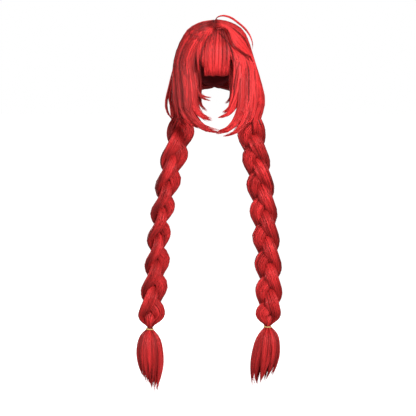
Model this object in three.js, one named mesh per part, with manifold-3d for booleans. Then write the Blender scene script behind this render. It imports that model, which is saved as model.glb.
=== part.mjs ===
// A long red costume wig: a stretch cap, crown hair combed from a centre part into two side
// bundles, a blunt fringe, two curtains of side locks, a springy top lock, and two plaits
// of three strands, each closed by a band above a loose tail.
// Millimetres, +Z up, the face looks along -Y. Left and right are as seen from the front,
// so +X is the right, the side with the swept front hair.
// The origin is the inside top of the cap, where the crown of the head carries the wig.
import * as THREE from "three";
import Module from "manifold-3d";

const wasm = await Module();
wasm.setup();

// Driving dimensions: the inside of the cap, and the outside of the hair over it
const HEAD = { halfWidth: 78, halfLength: 97, crownHeight: 98 };
const HAIR = { halfWidth: 100, halfLength: 117, crownHeight: 110 };
const DOME_Z = -HEAD.crownHeight;
const CAP_WALL = 1.6;
const GAP = 0.6;

// Cap rim: how low the edge of the cap lies at each heading round the head, 0 at the face
const CAP_RIM = [
  { heading: 0, z: -44 },
  { heading: 40, z: -62 },
  { heading: 72, z: -112 },
  { heading: 90, z: -96 },
  { heading: 108, z: -112 },
  { heading: 180, z: -158 },
];
const CAP = { columns: 24, levels: 6, drawnIn: 0.13, drawnDepth: 70 };

// Crown hair: a row for each guide from the part to the bundle that becomes the plait.
// part is its place along the centre part, in degrees from the top of the head, negative towards the face.
// over and rise, then temple and fall, are the headings and the angles from the top that it passes.
// slackX and slackY are where it sags out at SLACK_Z, and turn is its place round the bundle.
const CROWN_RIGHT = [
  { part: -37, over: 31, rise: 61, temple: 71, fall: 82, slackX: 106, slackY: -40, turn: -95 },
  { part: -20, over: 62, rise: 50, temple: 80, fall: 91, slackX: 120, slackY: -14, turn: -45 },
  { part: 0, over: 92, rise: 46, temple: 92, fall: 92, slackX: 124, slackY: 8, turn: 0 },
  { part: 28, over: 129, rise: 56, temple: 108, fall: 94, slackX: 118, slackY: 30, turn: 35 },
  { part: 58, over: 151, rise: 76, temple: 126, fall: 97, slackX: 106, slackY: 44, turn: 72 },
  { part: 92, over: 163, rise: 99, temple: 146, fall: 105, slackX: 92, slackY: 50, turn: 108 },
  { part: 123, over: 171, rise: 125, temple: 160, fall: 127, slackX: 78, slackY: 48, turn: 145 },
];
const LEFT_FRONT = { part: -33, over: 42, rise: 54, temple: 68, fall: 78 };
const CROWN_LEFT = CROWN_RIGHT.map((guide, i) => (i === 0 ? { ...guide, ...LEFT_FRONT } : guide));
const SLACK_Z = -190;
const BUNDLE = { leftX: 89, rightX: 96, y: 14, z: -240, radiusX: 19, radiusY: 21 };
const CROWN = { locks: 8, samplesPerLock: 2, steps: 10, ridge: 2, partDip: 5, partGap: 0.8 };
const CROWN_THICKNESS = [13, 17, 17, 13, 13];

// Side locks, front edge first: where each one leaves the part or the swept hair, where it passes
// the temple, cheek and jaw, and where its tip ends
const LOCKS_LEFT = [
  { rootX: -3, rootY: -68, templeX: -50, templeY: -100, cheekX: -45, cheekY: -98, jawX: -41, jawZ: -174,
    tipX: -15, tipY: -97, tipZ: -187, width: 18, thick: 8 },
  { rootX: -3, rootY: -62, templeX: -60, templeY: -92, cheekX: -51, cheekY: -96, jawX: -45, jawZ: -204,
    tipX: -12, tipY: -101, tipZ: -239, width: 31, thick: 10 },
  { rootX: -4, rootY: -54, templeX: -74, templeY: -79, cheekX: -66, cheekY: -88, jawX: -62, jawZ: -216,
    tipX: 6, tipY: -100, tipZ: -267, width: 28, thick: 12 },
  { rootX: -5, rootY: -44, templeX: -86, templeY: -59, cheekX: -82, cheekY: -72, jawX: -79, jawZ: -216,
    tipX: -28, tipY: -92, tipZ: -262, width: 28, thick: 12 },
  { rootX: -6, rootY: -34, templeX: -95, templeY: -37, cheekX: -97, cheekY: -52, jawX: -96, jawZ: -202,
    tipX: -74, tipY: -66, tipZ: -248, width: 28, thick: 11 },
];
const LOCKS_RIGHT = [
  { rootX: 16, rootY: -76, templeX: 50, templeY: -100, cheekX: 49, cheekY: -98, jawX: 46, jawZ: -174,
    tipX: 30, tipY: -96, tipZ: -187, width: 17, thick: 8 },
  { rootX: 20, rootY: -72, templeX: 58, templeY: -94, cheekX: 55, cheekY: -97, jawX: 50, jawZ: -200,
    tipX: 12, tipY: -101, tipZ: -233, width: 28, thick: 10 },
  { rootX: 28, rootY: -66, templeX: 70, templeY: -82, cheekX: 70, cheekY: -89, jawX: 64, jawZ: -214,
    tipX: 6, tipY: -104, tipZ: -271, width: 29, thick: 12 },
  { rootX: 36, rootY: -58, templeX: 83, templeY: -63, cheekX: 86, cheekY: -74, jawX: 82, jawZ: -216,
    tipX: 22, tipY: -97, tipZ: -277, width: 28, thick: 12 },
  { rootX: 42, rootY: -50, templeX: 93, templeY: -41, cheekX: 99, cheekY: -54, jawX: 98, jawZ: -204,
    tipX: 72, tipY: -72, tipZ: -254, width: 28, thick: 11 },
];
const SIDE = { templeZ: -92, cheekZ: -150, sweep: 0.5, sweepDrop: 0.82 };
const SIDE_LOCK = { root: 0.6, tip: 0.24, steps: 8, sides: 6 };
const TAPER = { opens: 0.35, closes: 0.58, power: 1.5 };

// Fringe: a row for each lock, fanning from the front of the part to a blunt edge across the brow
const FRINGE = [
  { rootX: -8, browX: -42, edgeX: -38, edgeZ: -124, width: 9 },
  { rootX: -7, browX: -22, edgeX: -23, edgeZ: -131, width: 11 },
  { rootX: -2, browX: -13, edgeX: -13.5, edgeZ: -130, width: 11 },
  { rootX: 3, browX: -4, edgeX: -4, edgeZ: -131.5, width: 11 },
  { rootX: 8.5, browX: 6, edgeX: 5.5, edgeZ: -130, width: 11 },
  { rootX: 14, browX: 16, edgeX: 14.5, edgeZ: -131, width: 11 },
  { rootX: 19, browX: 26, edgeX: 23.5, edgeZ: -131.5, width: 11 },
  { rootX: 24, browX: 36, edgeX: 31.5, edgeZ: -130, width: 11 },
];
const BROW = { rootY: -82, rootZ: -21, y: -113, z: -72, edgeY: -109, bendX: 0.62, bendY: 0.7, bendZ: 0.4 };
const BANG = { thick: 7, root: 0.7, tip: 0.75, steps: 4, sides: 6 };

// Top lock: a thin springy lock that leaves the part, arches over and comes down on the swept side
const TOP_LOCK = [
  { x: 3, y: -26, z: 2 },
  { x: 4, y: -26, z: 11 },
  { x: 10, y: -27, z: 15.5 },
  { x: 22, y: -28, z: 17.5 },
  { x: 40, y: -29, z: 12.5 },
  { x: 58, y: -30, z: 0 },
  { x: 75, y: -31, z: -15 },
  { x: 87, y: -32, z: -32 },
  { x: 93, y: -33, z: -50 },
  { x: 93, y: -34, z: -65 },
];
const TOP = { width: 6.5, thick: 4, root: 0.4, tip: 0.35, steps: 13, sides: 6 };

// Plaits: a row for each place that the middle line hangs through, from the bundle to the band.
// turn is where the flat of the plait faces there, in degrees from the front, positive to the right.
// start is how far round its swing the first strand is at the top, in degrees.
const PLAIT_LEFT = [
  { x: -89, y: 10, z: -241, turn: 30 },
  { x: -89, y: -6, z: -280, turn: 40 },
  { x: -102, y: -14, z: -335, turn: 48 },
  { x: -121, y: -10, z: -420, turn: 52 },
  { x: -137, y: 0, z: -510, turn: 52 },
  { x: -147, y: 8, z: -610, turn: 46 },
  { x: -158, y: 14, z: -690, turn: 40 },
  { x: -162, y: 16, z: -764, turn: 34 },
];
const PLAIT_RIGHT = [
  { x: 98, y: 16, z: -241, turn: -25 },
  { x: 97, y: 24, z: -285, turn: -28 },
  { x: 107, y: 36, z: -350, turn: -30 },
  { x: 119, y: 44, z: -425, turn: -32 },
  { x: 129, y: 50, z: -520, turn: -34 },
  { x: 137, y: 54, z: -620, turn: -36 },
  { x: 138, y: 56, z: -690, turn: -34 },
  { x: 134, y: 56, z: -763, turn: -28 },
];
const PLAIT_START = { left: 3, right: 52 };
const PLAIT = { pitch: 200, swing: 19, depth: 10, strandWidth: 15, strandDepth: 12, steps: 24, sides: 6 };
const NECK = { radius: 7, strand: 4.4, share: 0.08, bandClear: 2.4 };
const PLAIT_TOP = { open: 0.55, share: 0.08 };

// Bands and tails. A tail's locks stand out by a share of the spread at each share of the length.
// lean is how far the tips hang sideways, splay is how far apart, and the locks on the side where
// longer points hang lowest, the others being shorter by up to the share uneven.
const BAND = { wire: 1.5, rise: 2, sides: 6, around: 14 };
const TAIL_PATH = [
  { out: 0.1, down: 0 },
  { out: 0.55, down: 0.18 },
  { out: 0.8, down: 0.45 },
  { out: 0.45, down: 0.8 },
  { out: 0.2, down: 1 },
];
const TAIL = { length: 154, spread: 26, locks: 4, root: 0.3, tip: 0.2, steps: 6, sides: 6 };
const TAIL_LEFT = { lean: 0, splay: 0.4, longer: 1, uneven: 0.24 };
const TAIL_RIGHT = { lean: -15, splay: 0.8, longer: -1, uneven: 0.2 };
const TAIL_LOCK = { width: 28, thick: 18 };
const TAIL_CORE = { width: 38, thick: 38 };

// Materials
const redHair = () => new THREE.MeshStandardMaterial({ color: 0xb8242a, roughness: 0.45, metalness: 0 });
const netCap = () => new THREE.MeshStandardMaterial({ color: 0x5e1518, roughness: 0.9, metalness: 0 });
const paleBand = () => new THREE.MeshStandardMaterial({ color: 0xe0b45a, roughness: 0.6, metalness: 0 });

// Vectors, curves and directions
const { degToRad, lerp, smoothstep } = THREE.MathUtils;
const vec = (x, y, z) => new THREE.Vector3(x, y, z);
const smoothCurve = (points) => new THREE.CatmullRomCurve3(points, false, "centripetal");

function heading(azimuth, fromTop) {
  const a = degToRad(azimuth);
  const p = degToRad(fromTop);
  return vec(Math.sin(p) * Math.sin(a), -Math.sin(p) * Math.cos(a), Math.cos(p));
}

function onHair(direction) {
  return vec(
    HAIR.halfWidth * direction.x,
    HAIR.halfLength * direction.y,
    DOME_Z + HAIR.crownHeight * direction.z,
  );
}

// The direction whose point on the dome of hair lies under or over a point
function towards(p) {
  const size = vec(HAIR.halfWidth, HAIR.halfLength, HAIR.crownHeight);
  return p.clone().sub(vec(0, 0, DOME_Z)).divide(size);
}

function onHairAbove(x, y) {
  const share = 1 - (x / HAIR.halfWidth) ** 2 - (y / HAIR.halfLength) ** 2;
  return vec(x, y, DOME_Z + HAIR.crownHeight * Math.sqrt(share));
}

// The way out of a dome at a point: square to it above its centre, level below
function outOf(dome, p) {
  const up = Math.max(p.z - DOME_Z, 0) / dome.crownHeight ** 2;
  return vec(p.x / dome.halfWidth ** 2, p.y / dome.halfLength ** 2, up).normalize();
}

function between(values, t) {
  const at = t * (values.length - 1);
  const i = Math.min(Math.floor(at), values.length - 2);
  return lerp(values[i], values[i + 1], at - i);
}

// Solids
function solid(points, triangles) {
  const vertProperties = new Float32Array(points.flatMap((p) => [p.x, p.y, p.z]));
  const build = (list) =>
    new wasm.Manifold(new wasm.Mesh({ numProp: 3, vertProperties, triVerts: new Uint32Array(list.flat()) }));
  const made = build(triangles);
  return made.volume() > 0 ? made : build(triangles.map(([a, b, c]) => [a, c, b]));
}

// A closed body through rings of points, every ring in the same order
function loft(rings, endTriangles) {
  const n = rings[0].length;
  const last = (rings.length - 1) * n;
  const triangles = [];
  for (let r = 0; r < last; r += n) {
    for (let i = 0; i < n; i++) {
      const [a, b] = [r + i, r + ((i + 1) % n)];
      triangles.push([a, b, b + n], [a, b + n, a + n]);
    }
  }
  for (const [a, b, c] of endTriangles(n)) triangles.push([a, c, b], [last + a, last + b, last + c]);
  return solid(rings.flat(), triangles);
}

// End of a round body: a fan from its first point
function fan(n) {
  return Array.from({ length: n - 2 }, (_, i) => [0, i + 1, i + 2]);
}

// End of a sheet whose ring runs out along one face and back along the other
function strip(n) {
  return Array.from({ length: n / 2 - 1 }, (_, i) => [
    [i, i + 1, n - 2 - i],
    [i, n - 2 - i, n - 1 - i],
  ]).flat();
}

function oval(centre, across, out, halfWidth, halfThick, sides) {
  return Array.from({ length: sides }, (_, i) => {
    const a = (2 * Math.PI * i) / sides;
    return centre
      .clone()
      .addScaledVector(across, halfWidth * Math.cos(a))
      .addScaledVector(out, halfThick * Math.sin(a));
  });
}

const fuse = (solids) => solids.reduce((all, one) => all.add(one));
const largest = (made) => made.decompose().reduce((a, b) => (a.volume() > b.volume() ? a : b));

// A tapered lock of hair along a curve, oval across and lying flat on the head.
// root and tip are the shares of its width that it starts and ends with.
function lock(curve, size) {
  const { width, thick, steps, sides, root, tip, grow = 0, out = (p) => outOf(HAIR, p) } = size;
  const rings = [];
  for (let s = 0; s <= steps; s++) {
    const t = s / steps;
    const along = curve.getTangentAt(t);
    const past = s === 0 ? -grow : s === steps ? grow : 0;
    const p = curve.getPointAt(t).addScaledVector(along, past);
    const across = along.clone().cross(out(p)).normalize();
    const up = across.clone().cross(along).normalize();
    const opening = lerp(root, 1, smoothstep(t, 0, TAPER.opens));
    const closing = lerp(1, tip, smoothstep(t, TAPER.closes, 1) ** TAPER.power);
    const halfWidth = (width / 2) * opening * closing + grow;
    const halfThick = (thick / 2) * closing + grow;
    rings.push(oval(p, across, up, halfWidth, halfThick, sides));
  }
  return loft(rings, fan);
}

// Cap
function rimHeight(azimuth) {
  const a = Math.abs(azimuth);
  const i = Math.max(1, CAP_RIM.findIndex((r) => r.heading >= a));
  const t = smoothstep(a, CAP_RIM[i - 1].heading, CAP_RIM[i].heading);
  return lerp(CAP_RIM[i - 1].z, CAP_RIM[i].z, t);
}

function capPoint(azimuth, z, grow) {
  const above = (z - DOME_Z) / HEAD.crownHeight;
  const below = (DOME_Z - z) / CAP.drawnDepth;
  const share = above > 0 ? Math.sqrt(1 - above ** 2) : 1 - CAP.drawnIn * below ** 2;
  const level = heading(azimuth, 90);
  const p = vec(HEAD.halfWidth * share * level.x, HEAD.halfLength * share * level.y, z);
  return p.addScaledVector(outOf(HEAD, p), grow);
}

// Rings of the cap from just under its top down to the rim
function capRings(grow, lower) {
  return Array.from({ length: CAP.levels }, (_, j) =>
    Array.from({ length: CAP.columns }, (_, i) => {
      const azimuth = -180 + (360 * i) / CAP.columns;
      const z = (rimHeight(azimuth) - lower) * ((j + 1) / CAP.levels) ** 2;
      return capPoint(azimuth, z, grow);
    }),
  );
}

// Rings closed by a point above the first and a point beyond the last
function closedRings(top, rings, end) {
  const n = CAP.columns;
  const points = [top, ...rings.flat(), end];
  const at = (r, i) => 1 + r * n + (i % n);
  const triangles = [];
  for (let i = 0; i < n; i++) {
    triangles.push([0, at(0, i), at(0, i + 1)]);
    triangles.push([points.length - 1, at(rings.length - 1, i + 1), at(rings.length - 1, i)]);
    for (let r = 0; r + 1 < rings.length; r++) {
      triangles.push([at(r, i), at(r + 1, i), at(r + 1, i + 1)], [at(r, i), at(r + 1, i + 1), at(r, i + 1)]);
    }
  }
  return solid(points, triangles);
}

function cap() {
  const skins = [...capRings(CAP_WALL, 0), ...capRings(0, 0).reverse()];
  return closedRings(vec(0, 0, CAP_WALL), skins, vec(0, 0, 0));
}

// The cap and the head inside it as one block, a little larger, to cut the hair back from
function capRoom() {
  const grow = CAP_WALL + GAP;
  return closedRings(vec(0, 0, grow), capRings(grow, grow), vec(0, 0, DOME_Z));
}

// Crown hair
function crownCurve(guide, side) {
  const start = guide.part < 0 ? heading(0, -guide.part) : heading(180, guide.part);
  const over = heading(guide.over, guide.rise);
  const root = onHair(start);
  root.addScaledVector(outOf(HAIR, root), -CROWN.partDip);
  root.x += CROWN.partGap;
  const turn = degToRad(guide.turn);
  const bundleX = side < 0 ? BUNDLE.leftX : BUNDLE.rightX;
  const points = [
    root,
    onHair(start.add(over).normalize()),
    onHair(over),
    onHair(heading(guide.temple, guide.fall)),
    vec(guide.slackX, guide.slackY, SLACK_Z),
    vec(bundleX + BUNDLE.radiusX * Math.cos(turn), BUNDLE.y + BUNDLE.radiusY * Math.sin(turn), BUNDLE.z),
  ];
  return smoothCurve(points.map((p) => p.setX(p.x * side)));
}

// The point, or the nearest one on its own side of the part
const ownSide = (p, side) => p.setX(side * Math.max(p.x * side, CROWN.partGap));

// A sheet of hair as thick as the real one, with a shallow ridge for each lock
function crown(guides, side, grow) {
  const columns = CROWN.locks * CROWN.samplesPerLock;
  const curves = guides.map((guide) => crownCurve(guide, side));
  const across = (t) => smoothCurve(curves.map((curve) => curve.getPoint(Math.min(Math.max(t, 0), 1))));
  const nearby = 0.02;
  const rings = [];
  for (let s = 0; s <= CROWN.steps; s++) {
    const t = s / CROWN.steps;
    const [row, before, after] = [across(t), across(t - nearby), across(t + nearby)];
    const thick = between(CROWN_THICKNESS, t);
    const outer = [];
    const inner = [];
    for (let i = 0; i <= columns; i++) {
      const u = i / columns;
      const past = i === 0 ? -grow : i === columns ? grow : 0;
      const p = row.getPoint(u).addScaledVector(row.getTangent(u), past);
      if (s === CROWN.steps) p.z -= grow;
      const along = after.getPoint(u).sub(before.getPoint(u));
      const out = along.cross(row.getTangent(u)).normalize().multiplyScalar(side);
      const ridge = CROWN.ridge * (Math.abs(Math.sin(Math.PI * u * CROWN.locks)) - 1);
      outer.push(ownSide(p.clone().addScaledVector(out, ridge + grow), side));
      inner.push(ownSide(p.clone().addScaledVector(out, -thick - grow), side));
    }
    rings.push([...outer, ...inner.reverse()]);
  }
  return loft(rings, strip);
}

// Side locks
function sideCurve(row) {
  const root = onHairAbove(row.rootX, row.rootY);
  const temple = vec(row.templeX, row.templeY, SIDE.templeZ);
  const middle = towards(root).add(towards(temple)).normalize();
  const tip = vec(row.tipX, row.tipY, row.tipZ);
  const jaw = vec(row.jawX, (row.cheekY + row.tipY) / 2, row.jawZ);
  const sweepX = lerp(row.jawX, row.tipX, SIDE.sweep);
  const sweep = vec(sweepX, row.tipY, lerp(row.jawZ, row.tipZ, SIDE.sweepDrop));
  return smoothCurve([
    root,
    onHair(middle),
    temple,
    vec(row.cheekX, row.cheekY, SIDE.cheekZ),
    jaw,
    sweep,
    tip,
  ]);
}

function sideLocks(rows, grow) {
  return fuse(rows.map((row) => lock(sideCurve(row), { ...SIDE_LOCK, ...row, grow })));
}

// Fringe
function fringe() {
  const locks = FRINGE.map((row) => {
    const root = vec(row.rootX, BROW.rootY, BROW.rootZ);
    const brow = vec(row.browX, BROW.y, BROW.z);
    const edge = vec(row.edgeX, BROW.edgeY, row.edgeZ);
    const bend = vec(
      lerp(root.x, brow.x, BROW.bendX),
      lerp(root.y, brow.y, BROW.bendY),
      lerp(root.z, brow.z, BROW.bendZ),
    );
    return lock(smoothCurve([root, bend, brow, edge]), { ...BANG, width: row.width });
  });
  return fuse(locks);
}

// Top lock
function topLock() {
  return lock(smoothCurve(TOP_LOCK.map((p) => vec(p.x, p.y, p.z))), TOP);
}

// Plaits: three strands that swing across and step over one another, drawn in to a neck at the band
function plait(rows, start) {
  const middle = smoothCurve(rows.map((p) => vec(p.x, p.y, p.z)));
  const length = middle.getLength();
  const strands = [0, 1, 2].map((k) => {
    const rings = [];
    for (let s = 0; s <= PLAIT.steps; s++) {
      const t = s / PLAIT.steps;
      const face = degToRad(between(rows.map((row) => row.turn), t));
      const front = vec(Math.sin(face), -Math.cos(face), 0);
      const across = vec(Math.cos(face), Math.sin(face), 0);
      const phase = (2 * Math.PI * t * length) / PLAIT.pitch + degToRad(start + 120 * k);
      const atTop = lerp(PLAIT_TOP.open, 1, smoothstep(t, 0, PLAIT_TOP.share));
      const open = atTop * smoothstep(1 - t, 0, NECK.share);
      const swing = lerp(NECK.radius - NECK.strand, PLAIT.swing, open);
      const depth = lerp(NECK.radius - NECK.strand, PLAIT.depth, open);
      const p = middle
        .getPointAt(t)
        .addScaledVector(across, swing * Math.sin(phase))
        .addScaledVector(front, depth * Math.sin(2 * phase));
      const halfWidth = lerp(NECK.strand, PLAIT.strandWidth, open);
      const halfDepth = lerp(NECK.strand, PLAIT.strandDepth, open);
      rings.push(oval(p, across, front, halfWidth, halfDepth, PLAIT.sides));
    }
    return loft(rings, fan);
  });
  return fuse(strands);
}

// Bands
function band(row) {
  const radius = NECK.radius + NECK.bandClear + BAND.wire;
  const ring = new THREE.TorusGeometry(radius, BAND.wire, BAND.sides, BAND.around);
  ring.translate(row.x, row.y, row.z + BAND.rise);
  return ring;
}

// Tails: loose locks round a core, which leave the band, swell and close to a point
function tail(row, hang) {
  const top = vec(row.x, row.y, row.z);
  const tipOut = TAIL_PATH.at(-1).out;
  const locks = Array.from({ length: TAIL.locks + 1 }, (_, i) => {
    const isCore = i === TAIL.locks;
    const away = heading((360 * i) / TAIL.locks, 90);
    const spread = isCore ? 0 : TAIL.spread;
    const shorter = isCore ? 0.5 : (1 - hang.longer * away.x) / 2;
    const length = TAIL.length * (1 - hang.uneven * shorter);
    const points = TAIL_PATH.map((step) => {
      const out = spread * (step.out + (hang.splay - tipOut) * step.down ** 2);
      const p = top.clone().addScaledVector(away, out).setZ(top.z - length * step.down);
      return p.setX(p.x + hang.lean * step.down);
    });
    return lock(smoothCurve(points), { ...TAIL, ...(isCore ? TAIL_CORE : TAIL_LOCK), out: () => away });
  });
  return fuse(locks).trimByPlane([0, 0, -1], GAP - row.z);
}

// Assembly: hair that lies under other hair, or against the cap, is cut back to a small gap
const capBlock = capRoom();
const crowns = [crown(CROWN_LEFT, -1, 0), crown(CROWN_RIGHT, 1, 0)];
const crownBlocks = [crown(CROWN_LEFT, -1, GAP).add(crowns[0]), crown(CROWN_RIGHT, 1, GAP).add(crowns[1])];
const locks = [sideLocks(LOCKS_LEFT, 0), sideLocks(LOCKS_RIGHT, 0)];
const lockBlocks = [sideLocks(LOCKS_LEFT, GAP).add(locks[0]), sideLocks(LOCKS_RIGHT, GAP).add(locks[1])];
const cutBack = (made, blocks) => largest(blocks.reduce((left, block) => left.subtract(block), made));

function geometryOf(made) {
  const { vertProperties, triVerts } = made.getMesh();
  return new THREE.BufferGeometry()
    .setAttribute("position", new THREE.BufferAttribute(vertProperties, 3))
    .setIndex(new THREE.BufferAttribute(triVerts, 1));
}

const wig = new THREE.Group();

function add(name, geometry, material) {
  const mesh = new THREE.Mesh(geometry, material);
  mesh.name = name;
  wig.add(mesh);
}

add("cap", geometryOf(cap()), netCap());
add("crown_left", geometryOf(cutBack(crowns[0], [capBlock, lockBlocks[0]])), redHair());
add("crown_right", geometryOf(cutBack(crowns[1], [capBlock])), redHair());
add("side_locks_left", geometryOf(cutBack(locks[0], [capBlock])), redHair());
add("side_locks_right", geometryOf(cutBack(locks[1], [capBlock, crownBlocks[1]])), redHair());
add("fringe", geometryOf(cutBack(fringe(), [capBlock, ...crownBlocks, ...lockBlocks])), redHair());
add("top_lock", geometryOf(cutBack(topLock(), [capBlock, ...crownBlocks])), redHair());
for (const [name, rows, hang] of [["left", PLAIT_LEFT, TAIL_LEFT], ["right", PLAIT_RIGHT, TAIL_RIGHT]]) {
  const strands = plait(rows, PLAIT_START[name]);
  add("plait_" + name, geometryOf(cutBack(strands, [...crownBlocks, ...lockBlocks])), redHair());
  add("band_" + name, band(rows.at(-1)), paleBand());
  add("tail_" + name, geometryOf(tail(rows.at(-1), hang)), redHair());
}

export default wig;
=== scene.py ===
# %% [markdown]
# # A long red costume wig with two plaits
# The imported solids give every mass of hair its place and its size. This lesson dresses them: a core
# for each mass, and over it hundreds of thin strips that lie the way the hair is combed.
# Lengths are in millimetres until a mesh is made, because wig makers measure so. The front
# looks along -Y, +Z is up, and left and right are as seen from the front.

# %% Load the frame
import math

import bpy
import numpy as np
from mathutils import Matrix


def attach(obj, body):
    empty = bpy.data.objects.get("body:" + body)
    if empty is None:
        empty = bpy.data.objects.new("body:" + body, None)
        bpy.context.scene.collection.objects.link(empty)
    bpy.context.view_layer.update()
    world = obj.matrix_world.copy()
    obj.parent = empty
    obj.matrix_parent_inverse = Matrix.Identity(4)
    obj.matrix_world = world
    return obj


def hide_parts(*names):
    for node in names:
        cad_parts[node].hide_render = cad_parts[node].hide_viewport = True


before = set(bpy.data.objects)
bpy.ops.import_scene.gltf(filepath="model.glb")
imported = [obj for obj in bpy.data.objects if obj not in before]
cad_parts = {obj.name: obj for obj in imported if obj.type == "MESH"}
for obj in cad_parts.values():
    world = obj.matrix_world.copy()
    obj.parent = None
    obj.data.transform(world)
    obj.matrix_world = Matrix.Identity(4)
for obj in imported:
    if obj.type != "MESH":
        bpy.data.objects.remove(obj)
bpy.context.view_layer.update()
bpy.ops.object.select_all(action="DESELECT")
print("nodes:", ", ".join(sorted(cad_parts)))

# %% [markdown]
# ## Camera
# A long lens from far off keeps the plaits almost parallel, as in the picture. The camera stands level
# with the side locks and looks a little down, so the lens needs no shift.

# %% Camera
MM = 0.001
VIEW_CENTRE = (-16.2, 0, -457.6)
VIEW_SPAN = 1033.6
CAMERA_AWAY = 5000
CAMERA_Z = -150
SENSOR = 36
CLIP_END = 100

eye = np.array([VIEW_CENTRE[0], -CAMERA_AWAY, CAMERA_Z]) * MM
aim = np.array(VIEW_CENTRE) * MM
bpy.ops.object.camera_add(location=eye)
camera = bpy.context.object
pitch = math.atan2(aim[2] - eye[2], aim[1] - eye[1])
camera.rotation_euler = (math.pi / 2 + pitch, 0, 0)
camera.data.sensor_width = SENSOR
camera.data.lens = SENSOR * np.linalg.norm(aim - eye) / (VIEW_SPAN * MM)
camera.data.clip_end = CLIP_END
bpy.context.scene.camera = camera
print("lens", round(camera.data.lens, 1), "mm, looking down", round(-math.degrees(pitch), 1), "degrees")

# %% [markdown]
# ## Guides for the hair
# Every mass of hair follows a few smooth lines. The curve below passes through each of its points, and
# it is the same one that shaped the solids, so the strips lie where the solids are.

# %% Smooth lines
def unit(v):
    return v / np.maximum(np.linalg.norm(v, axis=-1, keepdims=True), 1e-9)


def through(points, s):
    """Places on a centripetal curve through points (n, 3) or (n, k, 3), where s counts points from 0."""
    points = np.asarray(points, float)
    s = np.asarray(s, float)
    if points.ndim == 2:
        points = np.repeat(points[:, None], len(s), axis=1)
    ends = 2 * points[:1] - points[1:2], 2 * points[-1:] - points[-2:-1]
    padded = np.concatenate([ends[0], points, ends[1]])
    i = np.clip(np.floor(s).astype(int), 0, len(points) - 2)
    w = (s - i)[:, None]
    column = np.arange(len(s))
    a, b, c, d = (padded[i + j, column] for j in range(4))
    ab, bc, cd = (np.maximum(np.linalg.norm(q - p, axis=1, keepdims=True), 1e-6) ** 0.5
                  for p, q in ((a, b), (b, c), (c, d)))
    leave = ((b - a) / ab - (c - a) / (ab + bc) + (c - b) / bc) * bc
    reach = ((c - b) / bc - (d - b) / (bc + cd) + (d - c) / cd) * bc
    return (b * (2 * w**3 - 3 * w**2 + 1) + leave * (w**3 - 2 * w**2 + w)
            + c * (3 * w**2 - 2 * w**3) + reach * (w**3 - w**2))


def even_line(points, count):
    """The same curve, at places an equal distance apart."""
    dense = through(points, np.linspace(0, len(points) - 1, 24 * len(points)))
    along = np.concatenate([[0], np.cumsum(np.linalg.norm(np.diff(dense, axis=0), axis=1))])
    wanted = np.linspace(0, along[-1], count)
    return np.stack([np.interp(wanted, along, dense[:, k]) for k in range(3)], axis=1)


def ease(x, low, high):
    """0 up to low, 1 from high on, and a smooth rise between them."""
    x = np.clip((np.asarray(x, float) - low) / (high - low), 0, 1)
    return x * x * (3 - 2 * x)


print("5 places on a curve:", even_line([(0, 0, 0), (1, 0, 0), (2, 1, 0)], 5).round(2).tolist())

# %% [markdown]
# ## Cap and dome of hair
# Two domes share one centre: the inside of the cap, and the hair that lies over it. Places on the hair are
# named by how far round from the front they are and how far down from the top, both in degrees. Hair is
# pushed out wherever it would come through the cap, which is surer than moving strips by hand.

# %% Cap and dome of hair
# Half sizes in x, y and z of the inside of the cap and of the dome of hair, and the centre of both.
CAP_INSIDE = np.array([78.0, 97.0, 98.0])
HAIR = np.array([100.0, 117.0, 110.0])
DOME = np.array([0.0, 0.0, -98.0])
# Below the centre the cap is drawn in by this share over this depth, down to its edge.
DRAWN_IN, DRAWN_DEPTH, CAP_EDGE_Z = 0.13, 70, -172


def heading(azimuth, from_top):
    a, p = np.radians(azimuth), np.radians(from_top)
    return np.array([np.sin(p) * np.sin(a), -np.sin(p) * np.cos(a), np.cos(p)])


def on_hair(direction):
    return DOME + HAIR * direction


def out_of_hair(p):
    """The way out of the dome of hair: square to it above its widest level, level below."""
    n = (p - DOME) / HAIR**2
    n[..., 2] = np.maximum(n[..., 2], 0)
    return unit(n)


def clear_of_cap(p, gap):
    """Points moved out to at least gap from the inside of the cap, above its lower edge."""
    size = CAP_INSIDE + gap
    below = np.clip((DOME[2] - p[..., 2]) / DRAWN_DEPTH, 0, 0.9)
    share = (p - DOME) / size
    share[..., 2] = np.maximum(share[..., 2], 0)
    share[..., :2] /= (1 - DRAWN_IN * below**2)[..., None]
    far = np.linalg.norm(share, axis=-1)
    push = np.where(p[..., 2] > CAP_EDGE_Z, 1 / np.clip(far, 0.2, 1), 1)
    moved = DOME + (p - DOME) * push[..., None]
    flat = p[..., 2] < DOME[2]
    moved[..., 2] = np.where(flat, p[..., 2], moved[..., 2])
    return moved


print("dome of hair", HAIR, "over a cap of", CAP_INSIDE)

# %% [markdown]
# ## Strips and cores
# Real hair is far too fine to model fibre by fibre. A strip here is a flat tuft a millimetre or two
# across with a raised middle, so light runs along it as it does along combed fibre. A core under the
# strips closes the mass. Thousands of strips are quicker and surer to write as arrays than to draw by hand.

# %% Strips and cores
SIDES = 4
# The underside is this share of the height. A unit of the UV map is this long, and strips start at
# places up to this far apart on it, so that their streaks differ.
UNDERSIDE, UV_LENGTH, UV_SHIFT = 0.6, 100, 7


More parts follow.
